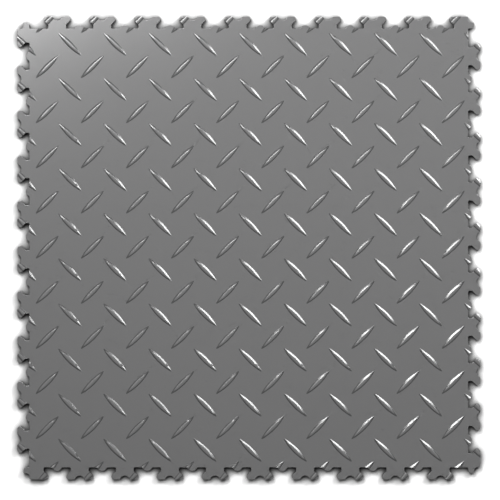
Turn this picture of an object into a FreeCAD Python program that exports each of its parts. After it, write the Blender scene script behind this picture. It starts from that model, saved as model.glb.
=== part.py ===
import FreeCAD, Part
import math
import os

# Interlocking floor tile, moulded in one piece from flexible PVC.
# Millimetres. The origin is the centre of the underside, and +Z points out of the tread.
# Each side carries the same row of dovetail teeth and sockets, turned by a quarter,
# so that any side locks into any side of a like tile.

# Laying grid: one tile covers a square of TEETH_PER_SIDE times TOOTH_PITCH
TEETH_PER_SIDE = 10
TOOTH_PITCH = 50.0
FIRST_TOOTH = 37.5  # from a corner of the laying square to the middle of the first tooth
FLANK_CLEARANCE = 0.15  # air beside a tooth in a neighbour's socket
END_CLEARANCE = 0.15  # air between a crown and the floor of a neighbour's socket

# Dovetail teeth
CROWN_REACH = 6.6  # how far a crown stands outside the laying square
NECK_WIDTH = 20.0
SLANT_DEPTH = 4.8  # how far the slanted part of a flank goes in
CROWN_RADIUS = 3.0

# Round hollow in a crown, and the lug on a socket floor that fits such a hollow
HOLLOW_WIDTH = 10.8
HOLLOW_DEPTH = 4.25

# Step beside the last tooth, and the corner lug's round corner that fits such a step
STEP_RADIUS = 3.5

# Thickness
PLATE_THICKNESS = 6.0

# Raised tread bars, lens shaped, in a basket pattern at 45 degrees to the sides
BAR_PITCH = 50.0
BAR_LENGTH = 36.0
BAR_WIDTH = 5.5
BAR_HEIGHT = 1.0
BAR_TAPER = 12.0  # length of each tapered end
TREAD_SHIFT_X = 1.5  # the tread as a whole lies a little off the middle of the tile
TREAD_SHIFT_Y = 0.9

LAYING_SIZE = TEETH_PER_SIDE * TOOTH_PITCH
FLOOR_DEPTH = CROWN_REACH + END_CLEARANCE
HEAD_WIDTH = TOOTH_PITCH - NECK_WIDTH - 2 * FLANK_CLEARANCE
DIAGONAL = math.sqrt(0.5)
UP = FreeCAD.Vector(0, 0, 1)


def at(along, out):
    """A point of the top side: along it from its left corner, and out from the laying square."""
    return FreeCAD.Vector(along - LAYING_SIZE / 2, LAYING_SIZE / 2 + out, 0)


def round_corner(along, out, right, up, radius):
    """The arc inside a square corner, from its upright leg to its level one. right and up
    point from the corner to the arc's centre."""
    centre = at(along + right * radius, out + up * radius)
    middle = centre - FreeCAD.Vector(right, up, 0) * (radius * DIAGONAL)
    return [at(along, out + up * radius), middle, at(along + right * radius, out)]


def flank(middle, hand):
    """A tooth's side from the socket floor up to its crown, hand -1 on the left, 1 on the right."""
    neck = middle + hand * NECK_WIDTH / 2
    head = middle + hand * HEAD_WIDTH / 2
    return [
        [at(neck, -FLOOR_DEPTH)],
        [at(neck, -SLANT_DEPTH / 2)],
        [at(head, SLANT_DEPTH / 2)],
        round_corner(head, CROWN_REACH, -hand, -1, CROWN_RADIUS),
    ]


def backwards(runs):
    return [run[::-1] for run in reversed(runs)]


def hollow(middle):
    """The arc that dips into a crown."""
    half = HOLLOW_WIDTH / 2
    bottom = at(middle, CROWN_REACH - HOLLOW_DEPTH)
    return [at(middle - half, CROWN_REACH), bottom, at(middle + half, CROWN_REACH)]


def lug(middle):
    """The arc of a lug on a socket floor, kept clear of the neighbour's hollow all round."""
    hollow_radius = (HOLLOW_WIDTH ** 2 / 4 + HOLLOW_DEPTH ** 2) / (2 * HOLLOW_DEPTH)
    radius = hollow_radius - FLANK_CLEARANCE
    height = HOLLOW_DEPTH - END_CLEARANCE - FLANK_CLEARANCE
    half = math.sqrt(height * (2 * radius - height))
    top = at(middle, height - FLOOR_DEPTH)
    return [at(middle - half, -FLOOR_DEPTH), top, at(middle + half, -FLOOR_DEPTH)]


def corner_lug():
    """The end of a side. The last tooth is cut off square where four tiles meet, and a small
    lug beside it fills this tile's quarter of the square between them."""
    cut = LAYING_SIZE - FLOOR_DEPTH - FLANK_CLEARANCE
    edge = LAYING_SIZE - FLANK_CLEARANCE / 2
    top = -FLANK_CLEARANCE / 2
    fit = round_corner(edge, -FLOOR_DEPTH, -1, 1, STEP_RADIUS + FLANK_CLEARANCE)
    return [[at(cut, CROWN_REACH)], round_corner(cut, top, 1, 1, STEP_RADIUS), [at(edge, top)], fit]


def side_runs():
    """The top side from its first socket to its corner lug, as single points and arcs."""
    runs = [[at(FLOOR_DEPTH, -FLOOR_DEPTH)]]
    for tooth in range(TEETH_PER_SIDE - 1):
        middle = FIRST_TOOTH + tooth * TOOTH_PITCH
        runs += flank(middle, -1) + [hollow(middle)] + backwards(flank(middle, 1))
        runs.append(lug(middle + TOOTH_PITCH / 2))
    last = FIRST_TOOTH + (TEETH_PER_SIDE - 1) * TOOTH_PITCH
    return runs + flank(last, -1) + corner_lug()


def outline():
    """The tile's edge as one face: four like sides, clockwise from the top left corner."""
    side = side_runs()
    edges = []
    pen = None
    for quarter in range(4):
        turn = FreeCAD.Rotation(UP, -90 * quarter)
        for run in side:
            points = [turn.multVec(point) for point in run]
            if pen is not None:
                edges.append(Part.makeLine(pen, points[0]))
            if len(points) == 3:
                edges.append(Part.Arc(*points).toShape())
            pen = points[-1]
    edges.append(Part.makeLine(pen, side[0][0]))
    return Part.Face(Part.Wire(edges))


def tread_bar():
    """One bar along X with its foot on Z = 0: two slanted slabs, each with a tapered outer
    edge, that meet in a ridge. The ridge is level in the middle and runs out at both tips.
    The slabs go on below the foot, so that the bar is rooted in the plate."""
    tip = BAR_LENGTH / 2
    shoulder = tip - BAR_TAPER
    half = BAR_WIDTH / 2
    slabs = []
    for hand in (-1, 1):
        edge = [(-tip, 0), (-shoulder, hand * half), (shoulder, hand * half), (tip, 0)]
        back = [(tip, -hand * BAR_WIDTH), (-tip, -hand * BAR_WIDTH), (-tip, 0)]
        rise = FreeCAD.Vector(0, -hand * half, BAR_HEIGHT)
        corners = [FreeCAD.Vector(x, y, 0) - rise for x, y in edge + back]
        slabs.append(Part.Face(Part.makePolygon(corners)).extrude(rise * 2))
    return slabs[0].common(slabs[1])


def tread_bars():
    """All bars on the laying square, half of them at 45 degrees, the other half across them."""
    leaning = tread_bar()
    leaning.rotate(FreeCAD.Vector(), UP, 45)
    count = int(LAYING_SIZE / BAR_PITCH)
    shift = FreeCAD.Vector(TREAD_SHIFT_X, TREAD_SHIFT_Y, PLATE_THICKNESS)
    bars = []
    for column in range(count):
        for row in range(count + 1):
            x = (column + 0.5 - count / 2) * BAR_PITCH
            y = (row - count / 2) * BAR_PITCH
            for quarter in range(2):
                bar = leaning.copy()
                bar.translate(FreeCAD.Vector(x, y, 0))
                bar.rotate(FreeCAD.Vector(), UP, 90 * quarter)
                bar.translate(shift)
                bars.append(bar)
    return bars


def floor_tile():
    """The plate with its tread. Bars that run over a socket are cut off at the tile's edge."""
    edge = outline()
    plate = edge.extrude(UP * PLATE_THICKNESS)
    stock = edge.extrude(UP * (PLATE_THICKNESS + BAR_HEIGHT))
    return plate.fuse(tread_bars()).common(stock).removeSplitter()


os.makedirs("parts", exist_ok=True)
tile = floor_tile().Solids[0]
tile.exportStep("parts/floor_tile.step")
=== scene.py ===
import bmesh
import bpy
import math
from mathutils import Matrix, Vector


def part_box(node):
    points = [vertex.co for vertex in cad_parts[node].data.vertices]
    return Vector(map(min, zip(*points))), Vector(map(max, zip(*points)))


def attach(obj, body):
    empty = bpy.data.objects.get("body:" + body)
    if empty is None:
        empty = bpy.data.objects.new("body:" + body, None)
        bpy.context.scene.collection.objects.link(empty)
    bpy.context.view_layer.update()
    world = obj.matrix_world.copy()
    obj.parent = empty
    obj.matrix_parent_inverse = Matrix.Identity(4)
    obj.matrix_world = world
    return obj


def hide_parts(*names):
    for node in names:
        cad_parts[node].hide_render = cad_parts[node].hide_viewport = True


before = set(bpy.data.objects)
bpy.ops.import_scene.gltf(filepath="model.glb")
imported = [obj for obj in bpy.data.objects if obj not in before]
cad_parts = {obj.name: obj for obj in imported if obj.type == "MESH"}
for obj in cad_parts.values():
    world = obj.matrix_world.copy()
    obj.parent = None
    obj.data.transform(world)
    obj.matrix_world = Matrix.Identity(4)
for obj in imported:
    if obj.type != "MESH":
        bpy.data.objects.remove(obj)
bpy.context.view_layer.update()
MM = 0.001


# The plate and its edge
# The body of the tile is a 6 mm plate of flexible PVC, injection moulded in one shot. The same
# row of dovetail teeth and sockets runs along all four sides, so that any side locks into any
# side of the next tile. A crown's hollow takes the lug on the floor of a neighbour's socket.
tile_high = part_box("floor_tile")[1]
teeth = 10
pitch = 50 * MM
laying_line = teeth * pitch / 2
crown = tile_high.y - laying_line
air = 0.15 * MM
plate_top = 6 * MM
first_tooth = 37.5 * MM - laying_line
neck_half = 10 * MM
head_half = pitch / 2 - neck_half - air
slant_drop = 4.8 * MM
crown_radius = 3 * MM
waist_radius = 1.6 * MM
floor_radius = 1.3 * MM
socket_floor = -crown - air
hollow_half_width = 5.4 * MM
hollow_depth = 4.25 * MM
hollow_radius = (hollow_half_width ** 2 + hollow_depth ** 2) / (2 * hollow_depth)
lip_radius = 1.2 * MM
lug_height = hollow_depth - 2 * air
lug_radius = hollow_radius - air
base_radius = lip_radius + air
step_radius = 3.5 * MM
tip_radius = 1.2 * MM
rim = 0.5 * MM
foot_rim = 0.3 * MM
arc_step = math.radians(11)
touching = 0.01 * MM  # points closer together than this are one
on_cut = 0.001 * MM  # points closer to a cut than this lie on it


class Scriber:
    """Draws the tile's edge, as the last point of the mesh in edit mode moved along runs and bends."""

    def __init__(self, x, y, heading):
        self.place = Vector((x, y, 0))
        self.heading = heading

    def run(self, length):
        step = Vector((math.cos(self.heading), math.sin(self.heading), 0)) * length
        bpy.ops.mesh.extrude_region_move(TRANSFORM_OT_translate={"value": step})
        self.place += step

    def bend(self, radius, turn):
        """A bend by turn in radians, to the left where turn is positive."""
        side = self.heading + math.copysign(math.pi / 2, turn)
        centre = self.place + Vector((math.cos(side), math.sin(side), 0)) * radius
        steps = max(3, round(abs(turn) / arc_step))
        bpy.ops.mesh.spin(steps=steps, angle=-turn, center=centre, axis=(0, 0, 1))
        self.place = centre + Matrix.Rotation(turn, 3, "Z") @ (self.place - centre)
        self.heading += turn


def pick(tile, wanted):
    """In edit mode, selects the points of which wanted is true, and what lies between them."""
    mesh = bmesh.from_edit_mesh(tile.data)
    bpy.ops.mesh.select_all(action="DESELECT")
    for point in mesh.verts:
        point.select_set(wanted(point.co))
    mesh.select_flush(True)
    bmesh.update_edit_mesh(tile.data)


def pick_one(tile, x, y):
    """In edit mode, selects the one point that lies nearest to a place."""
    mesh = bmesh.from_edit_mesh(tile.data)
    bpy.ops.mesh.select_all(action="DESELECT")
    place = Vector((x, y, 0))
    min(mesh.verts, key=lambda point: (point.co - place).length).select_set(True)
    bmesh.update_edit_mesh(tile.data)


def take_up(piece):
    """Selects one piece alone and makes it the active one."""
    bpy.ops.object.select_all(action="DESELECT")
    piece.select_set(True)
    bpy.context.view_layer.objects.active = piece


def finish_modifier(piece, kind, **settings):
    """Adds a modifier with its settings and applies it."""
    take_up(piece)
    modifier = piece.modifiers.new(kind.title(), kind)
    for name, value in settings.items():
        setattr(modifier, name, value)
    bpy.ops.object.modifier_apply(modifier=modifier.name)


# Half a tooth and half a socket, from the bottom of a hollow to the top of the lug beside it
bpy.ops.object.select_all(action="DESELECT")
before_first = first_tooth - pitch
start = (before_first, laying_line + crown - hollow_depth)
bpy.ops.mesh.primitive_plane_add(size=MM, location=(start[0], start[1], 0))
tile = bpy.context.object
tile.name = "floor_tile_moulding"
bpy.ops.object.transform_apply(location=True, rotation=True, scale=True)
bpy.ops.object.mode_set(mode="EDIT")
bpy.ops.mesh.select_mode(type="VERT")
bpy.ops.mesh.select_all(action="SELECT")
bpy.ops.mesh.merge(type="CENTER")
lip_turn = math.acos(1 - hollow_depth / (hollow_radius + lip_radius))
lip_half = (hollow_radius + lip_radius) * math.sin(lip_turn)
lug_turn = math.acos(1 - lug_height / (lug_radius + base_radius))
lug_half = (lug_radius + base_radius) * math.sin(lug_turn)
slant = math.atan2(head_half - neck_half, slant_drop)
waist_run = waist_radius * math.tan(slant / 2)
edge = Scriber(*start, 0)
edge.bend(hollow_radius, lip_turn)
edge.bend(lip_radius, -lip_turn)
edge.run(head_half - crown_radius - lip_half)
edge.bend(crown_radius, -math.pi / 2)
edge.run(crown - crown_radius - slant_drop / 2 - waist_run)
edge.bend(waist_radius, -slant)
edge.run(slant_drop / math.cos(slant) - 2 * waist_run)
edge.bend(waist_radius, slant)
edge.run(-slant_drop / 2 - waist_run - socket_floor - floor_radius)
edge.bend(floor_radius, math.pi / 2)
edge.run(pitch / 2 - neck_half - floor_radius - lug_half)
edge.bend(base_radius, lug_turn)
edge.bend(lug_radius, -lug_turn)

# The other half is its mirror image, and copies of the two make the row
bpy.ops.mesh.select_all(action="SELECT")
bpy.ops.mesh.duplicate()
bpy.ops.transform.resize(value=(-1, 1, 1), center_override=(before_first + pitch / 2, 0, 0))
bpy.ops.object.mode_set(mode="OBJECT")
finish_modifier(
    tile, "ARRAY", count=teeth, use_relative_offset=False,
    use_constant_offset=True, constant_offset_displace=(pitch, 0, 0),
)
bpy.ops.object.mode_set(mode="EDIT")
bpy.ops.mesh.select_all(action="SELECT")
bpy.ops.mesh.remove_doubles(threshold=touching)

# The first socket has no lug, and starts at the corner
first_floor = first_tooth - neck_half - floor_radius
pick(tile, lambda point: point.x < first_tooth - head_half - touching)
bpy.ops.mesh.delete(type="VERT")
pick_one(tile, first_floor, laying_line + socket_floor)
edge = Scriber(first_floor, laying_line + socket_floor, math.pi)
edge.run(first_floor + laying_line + socket_floor - floor_radius)

# The last tooth is cut off square where four tiles meet, and a small lug lies beside it
last_tooth = first_tooth + (teeth - 1) * pitch
last_crown = last_tooth - head_half + crown_radius
pick(tile, lambda point: point.x > last_tooth - neck_half + touching)
bpy.ops.mesh.delete(type="VERT")
pick_one(tile, last_crown, laying_line + crown)
edge = Scriber(last_crown, laying_line + crown, 0)
cut = laying_line + socket_floor - air
lug_top = -air / 2
fit_radius = step_radius + air
edge.run(cut - tip_radius - last_crown)
edge.bend(tip_radius, -math.pi / 2)
edge.run(crown - tip_radius - step_radius - lug_top)
edge.bend(step_radius, math.pi / 2)
edge.run(laying_line - air / 2 - tip_radius - cut - step_radius)
edge.bend(tip_radius, -math.pi / 2)
edge.run(lug_top - tip_radius - fit_radius - socket_floor)
edge.bend(fit_radius, -math.pi / 2)
edge.run(-air / 2 - fit_radius - floor_radius - socket_floor)
edge.bend(floor_radius, math.pi / 2)

# All four sides, closed to a face, and the plate drawn up from it
bpy.ops.mesh.select_all(action="SELECT")
bpy.ops.mesh.spin(steps=3, dupli=True, angle=math.radians(270), center=(0, 0, 0), axis=(0, 0, 1))
bpy.ops.mesh.select_all(action="SELECT")
bpy.ops.mesh.remove_doubles(threshold=touching)
bpy.ops.mesh.edge_face_add()
bpy.ops.object.mode_set(mode="OBJECT")
bpy.ops.object.duplicate()
stock = bpy.context.object
for piece, low, high in ((tile, 0, plate_top), (stock, plate_top - 2 * rim, tile_high.z + rim)):
    take_up(piece)
    bpy.ops.object.mode_set(mode="EDIT")
    bpy.ops.mesh.select_all(action="SELECT")
    bpy.ops.transform.translate(value=(0, 0, low))
    bpy.ops.mesh.extrude_region_move(TRANSFORM_OT_translate={"value": (0, 0, high - low)})
    bpy.ops.mesh.select_all(action="SELECT")
    bpy.ops.mesh.normals_make_consistent(inside=False)
    bpy.ops.object.mode_set(mode="OBJECT")

# The rim round the top is rounded, and the one round the foot has a small bevel
take_up(tile)
bpy.ops.object.mode_set(mode="EDIT")
pick(tile, lambda point: point.z > plate_top / 2)
bpy.ops.mesh.bevel(offset=rim, segments=4, affect="EDGES", clamp_overlap=False)
pick(tile, lambda point: point.z < foot_rim)
bpy.ops.mesh.bevel(offset=foot_rim, segments=1, affect="EDGES", clamp_overlap=False)

# The plate is divided into squares, so that each of its flat faces takes in only a bar or two
for line in range(1, teeth):
    for across in ((1, 0, 0), (0, 1, 0)):
        bpy.ops.mesh.select_all(action="SELECT")
        bpy.ops.mesh.bisect(
            plane_co=Vector(across) * (line * pitch - laying_line), plane_no=across,
            threshold=on_cut,
        )
bpy.ops.object.mode_set(mode="OBJECT")


# The tread
# Low lens shaped bars of the same moulding stand on the plate in a basket pattern, half of them
# at 45 degrees and the other half across them. Each has a flat top between two slanted flanks,
# and two long slopes take its ends down to the plate. Their edges are a little rounded.
bar_pitch = 50 * MM
bar_length = 35.6 * MM
bar_height = tile_high.z - plate_top
bar_root = 1.5 * MM
lens_length = 39 * MM
lens_width = 6.2 * MM
flank_width = 1.9 * MM
end_slope = 8.6 * MM
soft_edge = 0.25 * MM
bend_radius = (lens_length ** 2 + lens_width ** 2) / (4 * lens_width)
past_tips = 1.15  # a flank's bend goes on past both tips of the lens
reach = past_tips * math.asin(lens_length / 2 / bend_radius)
flank_end = lens_width / 2 - flank_width
flank_slant = math.atan2(bar_height, flank_width)
deeper = 1.3  # the flanks go on below the plate's face
past_ridge = 0.5 * MM  # each half reaches past the middle until it is cut there
bend_steps = 12
smooth_turn = math.radians(24)

# One half, as the section of its flank spun round the middle of its bend and cut in the middle
bpy.ops.object.select_all(action="DESELECT")
bpy.ops.mesh.primitive_plane_add(size=MM, location=(0, -past_ridge, bar_height))
bars = bpy.context.object
bpy.ops.object.transform_apply(location=True, rotation=True, scale=True)
bpy.ops.object.mode_set(mode="EDIT")
bpy.ops.mesh.select_all(action="SELECT")
bpy.ops.mesh.merge(type="CENTER")
soft_run = soft_edge * math.cos(flank_slant)
soft_drop = soft_edge * math.sin(flank_slant)
for out, down in (
    (flank_end + past_ridge - soft_edge, 0),
    (soft_edge + soft_run, soft_drop),
    (deeper * flank_width - soft_run, deeper * bar_height - soft_drop),
    (0, bar_root),
):
    bpy.ops.mesh.extrude_region_move(TRANSFORM_OT_translate={"value": (0, out, -down)})
middle_of_bend = (0, lens_width / 2 - bend_radius, 0)
bpy.ops.mesh.select_all(action="SELECT")
bpy.ops.transform.rotate(value=reach, orient_axis="Z", center_override=middle_of_bend)
bpy.ops.mesh.spin(steps=bend_steps, angle=-2 * reach, center=middle_of_bend, axis=(0, 0, 1))
bpy.ops.mesh.select_all(action="SELECT")
bpy.ops.mesh.bisect(plane_co=(0, 0, 0), plane_no=(0, 1, 0), threshold=on_cut, clear_inner=True)

# The other half is its mirror image, and the foot is closed below the plate's face
bpy.ops.mesh.select_all(action="SELECT")
bpy.ops.mesh.duplicate()
bpy.ops.transform.resize(value=(1, -1, 1), center_override=(0, 0, 0))
bpy.ops.mesh.select_all(action="SELECT")
bpy.ops.mesh.remove_doubles(threshold=touching)
bar_foot = (1 - deeper) * bar_height - bar_root
pick(bars, lambda point: point.z < bar_foot + touching)
bpy.ops.mesh.edge_face_add()
bpy.ops.mesh.select_all(action="SELECT")
bpy.ops.mesh.normals_make_consistent(inside=False)

# Both ends are cut at a slant
for end in (1, -1):
    up_from_slope = Vector((end * bar_height, 0, end_slope)).normalized()
    bpy.ops.mesh.select_all(action="SELECT")
    bpy.ops.mesh.bisect(
        plane_co=(end * bar_length / 2, 0, 0), plane_no=up_from_slope, threshold=on_cut,
        use_fill=True, clear_outer=True,
    )
bpy.ops.mesh.select_all(action="SELECT")
bpy.ops.transform.rotate(value=-math.pi / 4, orient_axis="Z", center_override=(0, 0, 0))
bpy.ops.transform.translate(value=(bar_pitch / 2 - laying_line, -laying_line, plate_top))
bpy.ops.object.mode_set(mode="OBJECT")

# Columns and rows of copies, and the same again turned by a quarter. The mould's tread lies a
# little off the middle of the tile.
tread_shift = (1.5 * MM, 0.9 * MM, 0)
for count, step in ((teeth, (bar_pitch, 0, 0)), (teeth + 1, (0, bar_pitch, 0))):
    finish_modifier(
        bars, "ARRAY", count=count, use_relative_offset=False,
        use_constant_offset=True, constant_offset_displace=step,
    )
bpy.ops.object.mode_set(mode="EDIT")
bpy.ops.mesh.select_all(action="SELECT")
bpy.ops.mesh.spin(steps=1, dupli=True, angle=math.pi / 2, center=(0, 0, 0), axis=(0, 0, 1))
bpy.ops.mesh.select_all(action="SELECT")
bpy.ops.transform.translate(value=tread_shift)
bpy.ops.object.mode_set(mode="OBJECT")

# Bars that run over a socket end at the tile's edge, and all of them are one with the plate
finish_modifier(bars, "BOOLEAN", operation="INTERSECT", solver="MANIFOLD", object=stock)
finish_modifier(tile, "BOOLEAN", operation="UNION", solver="MANIFOLD", object=bars)
bpy.data.objects.remove(stock)
bpy.data.objects.remove(bars)
take_up(tile)
bpy.ops.object.shade_smooth_by_angle(angle=smooth_turn)
finish_modifier(tile, "WEIGHTED_NORMAL", mode="FACE_AREA", weight=100, keep_sharp=True)


# The PVC
# Plasticised PVC, coloured mid grey right through. The polished mould leaves a glossy skin with
# a fine grain, a little cloudy where the melt has flowed. A painted highlight lightens the bars'
# tops in patches, and painted shade darkens them low on their flanks and on the walls, which are
# also duller.
class Wire:
    """An outlet in a material's node tree. Sums on it add Math nodes."""

    def __init__(self, tree, socket=None):
        self.tree = tree
        self.socket = socket

    def node(self, kind, settings, inlets, outlet=0):
        """Adds a node with its settings and the values or links of its sockets."""
        made = self.tree.nodes.new(kind)
        for name, value in settings.items():
            setattr(made, name, value)
        for name, value in inlets.items():
            if isinstance(value, Wire):
                self.tree.links.new(value.socket, made.inputs[name])
            else:
                made.inputs[name].default_value = value
        return Wire(self.tree, made.outputs[outlet] if made.outputs else None)

    def sums(self, operation, first, second):
        return self.node("ShaderNodeMath", {"operation": operation}, {0: first, 1: second})

    def __add__(self, other):
        return self.sums("ADD", self, other)

    def __radd__(self, other):
        return self.sums("ADD", other, self)

    def __mul__(self, other):
        return self.sums("MULTIPLY", self, other)

    def __rmul__(self, other):
        return self.sums("MULTIPLY", other, self)

    def __pow__(self, other):
        return self.sums("POWER", self, other)


pvc = bpy.data.materials.new("pvc")
pvc.use_nodes = True
pvc.node_tree.nodes.clear()
blank = Wire(pvc.node_tree)
pvc_grey = (0.185, 0.185, 0.186, 1)
# painted highlight: a lighter grey laid on the bars' tops
painted_highlight_grey = (0.205, 0.205, 0.206, 1)
cloud_grey = (0.5, 0.5, 0.5, 1)
# painted shade: a near-black laid low on the bars' flanks and on the walls
painted_shade_grey = (0.02, 0.02, 0.02, 1)
cloudiness = 0.12
flank_shade = 0.6
wall_shade = 0.9
polish = 0.145
wall_dullness = 0.5
place = blank.node("ShaderNodeTexCoord", {}, {}, "Object")
height = blank.node("ShaderNodeSeparateXYZ", {}, {"Vector": place}, "Z")
clouds = blank.node("ShaderNodeTexNoise", {}, {"Vector": place, "Scale": 14, "Detail": 3})
grain = blank.node("ShaderNodeTexNoise", {}, {"Vector": place, "Scale": 1900, "Detail": 2})
peel = blank.node(
    "ShaderNodeTexVoronoi", {"feature": "SMOOTH_F1"}, {"Vector": place, "Scale": 1100}, "Distance"
)
highlight_patches = blank.node("ShaderNodeTexNoise", {}, {"Vector": place, "Scale": 260, "Detail": 4})
on_top = blank.node(
    "ShaderNodeMapRange", {"interpolation_type": "SMOOTHSTEP"},
    {"Value": height, "From Min": plate_top + 0.6 * bar_height, "From Max": tile_high.z},
)
# painted highlight: lighter patches on the top part of each bar
painted_highlight = on_top * highlight_patches
colour = blank.node(
    "ShaderNodeMix", {"data_type": "RGBA"}, {"Factor": painted_highlight, 6: pvc_grey, 7: painted_highlight_grey}, 2
)
shade = blank.node(
    "ShaderNodeMix", {"data_type": "RGBA", "blend_type": "MULTIPLY"},
    {"Factor": cloudiness * clouds, 6: colour, 7: cloud_grey}, 2,
)
above_face = blank.node(
    "ShaderNodeMapRange", {},
    {"Value": height, "From Min": plate_top + 0.01 * MM, "From Max": plate_top + 0.06 * MM},
)
low_on_flank = blank.node(
    "ShaderNodeMapRange", {"interpolation_type": "SMOOTHSTEP"},
    {
        "Value": height,
        "From Min": plate_top + 0.85 * bar_height,
        "From Max": plate_top + 0.3 * bar_height,
    },
)
on_wall = blank.node(
    "ShaderNodeMapRange", {},
    {"Value": height, "From Min": plate_top - 0.2 * MM, "From Max": plate_top - 0.6 * MM},
)
# painted shade darkens the lower flanks of the bars and the walls
painted_shade = flank_shade * (above_face * low_on_flank) + wall_shade * on_wall
colour = blank.node(
    "ShaderNodeMix", {"data_type": "RGBA"}, {"Factor": painted_shade, 6: shade, 7: painted_shade_grey}, 2
)
relief = blank.node(
    "ShaderNodeBump", {}, {"Height": grain + 0.6 * peel, "Strength": 0.12, "Distance": 0.03 * MM}
)
surface = blank.node(
    "ShaderNodeBsdfPrincipled", {},
    {
        "Base Color": colour,
        "Roughness": polish + 0.04 * clouds + 0.02 * grain + wall_dullness * on_wall,
        "Specular IOR Level": 1.0,
        "Coat Weight": 0.5,
        "Coat Roughness": 0.12,
        "Normal": relief,
    },
)
blank.node("ShaderNodeOutputMaterial", {}, {"Surface": surface})
tile.data.materials.clear()
tile.data.materials.append(pvc)
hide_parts("floor_tile")
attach(tile, "root")


# The floor
# A plain pale studio floor with the tile's own soft shadow on it, and a painted shadow that is
# deepest in the narrow corners of the sockets and close to the walls. Farther out the floor runs to
# white. To the eye the paper is white, and the light it throws back on the tile is a pale grey's.
floor_width = 200
floor_drop = 0.02 * MM
bounce_grey = (0.6, 0.6, 0.6, 1)
paper_white = (1.45, 1.45, 1.45, 1)
shadow_grey = (0.02, 0.02, 0.02, 1)
shadow_reach = 12 * MM
shadow_depth = 2.5
bpy.ops.object.select_all(action="DESELECT")
bpy.ops.mesh.primitive_plane_add(size=floor_width, location=(0, 0, -floor_drop))
floor = bpy.context.object
floor.name = "studio_floor"
paper = bpy.data.materials.new("floor_paper")
paper.use_nodes = True
paper.node_tree.nodes.clear()
blank = Wire(paper.node_tree)
seen = blank.node("ShaderNodeLightPath", {}, {}, "Is Camera Ray")
mirrored = blank.node("ShaderNodeLightPath", {}, {}, "Is Glossy Ray")
seen_through = blank.node("ShaderNodeLightPath", {}, {}, "Is Transmission Ray")
shown = seen + mirrored + seen_through
pale = blank.node(
    "ShaderNodeMix", {"data_type": "RGBA"}, {"Factor": shown, 6: bounce_grey, 7: paper_white}, 2
)
place = blank.node("ShaderNodeTexCoord", {}, {}, "Object")
from_middle = blank.node("ShaderNodeVectorMath", {"operation": "LENGTH"}, {0: place}, "Value")
far = blank.node(
    "ShaderNodeMapRange", {"interpolation_type": "SMOOTHSTEP"},
    {"Value": from_middle, "From Min": 0.45, "From Max": 1.2},
)
# painted shadow: a near-black paper is mixed in where the walls are close
open_sky = blank.node(
    "ShaderNodeAmbientOcclusion", {"samples": 16}, {"Distance": shadow_reach}, "AO"
)
clear_of_walls = open_sky ** shadow_depth
pale_paper = blank.node("ShaderNodeBsdfDiffuse", {}, {"Color": pale})
painted_shadow_paper = blank.node("ShaderNodeBsdfDiffuse", {}, {"Color": shadow_grey})
near_paper = blank.node(
    "ShaderNodeMixShader", {}, {0: clear_of_walls, 1: painted_shadow_paper, 2: pale_paper}
)
far_paper = blank.node("ShaderNodeEmission", {}, {"Color": (1, 1, 1, 1), "Strength": 1})
surface = blank.node(
    "ShaderNodeMixShader", {}, {0: far * shown, 1: near_paper, 2: far_paper}
)
blank.node("ShaderNodeOutputMaterial", {}, {"Surface": surface})
floor.data.materials.append(paper)


# Studio light
# A soft box beyond the back edge, a little to the left, a lower one past the back right corner,
# and a long one high up whose shine just reaches the back edge of the tile, mostly at the left.
# The room round them is a dim grey that fills the shadows.
def soft_box(name, place, width, depth, power):
    """A rectangular lamp that faces the middle of the tile."""
    lamp = bpy.data.lights.new(name, "AREA")
    lamp.shape = "RECTANGLE"
    lamp.size = width
    lamp.size_y = depth
    lamp.energy = power
    head = bpy.data.objects.new(name, lamp)
    bpy.context.scene.collection.objects.link(head)
    head.location = place
    head.rotation_euler = (-Vector(place)).to_track_quat("-Z", "Y").to_euler()


soft_box("back_box", (-0.38, 0.85, 1.16), width=0.66, depth=0.42, power=12)
soft_box("corner_box", (0.98, 0.8, 0.88), width=0.62, depth=0.64, power=13.5)
soft_box("high_box", (-0.46, 0.93, 2.77), width=1.65, depth=0.66, power=24)
room = bpy.data.worlds.new("studio")
room.use_nodes = True
room.node_tree.nodes.clear()
blank = Wire(room.node_tree)
around = blank.node("ShaderNodeBackground", {}, {"Color": (1, 1, 1, 1), "Strength": 0.1})
blank.node("ShaderNodeOutputWorld", {}, {"Surface": around})
bpy.context.scene.world = room


# Camera
# It looks straight down on the tile from high up, through a long lens, and a hair off the middle,
# so that the tile lies in the picture as it does in the photo.
camera_height = 2.5
view_width = 0.554
camera_x = 1.33 * MM
camera_y = -2.2 * MM
lens = bpy.data.cameras.new("camera")
lens.lens = lens.sensor_width * camera_height / view_width
camera = bpy.data.objects.new("camera", lens)
camera.location = (camera_x, camera_y, tile_high.z + camera_height)
bpy.context.scene.collection.objects.link(camera)
bpy.context.scene.camera = camera
bpy.context.scene.view_settings.view_transform = "Standard"
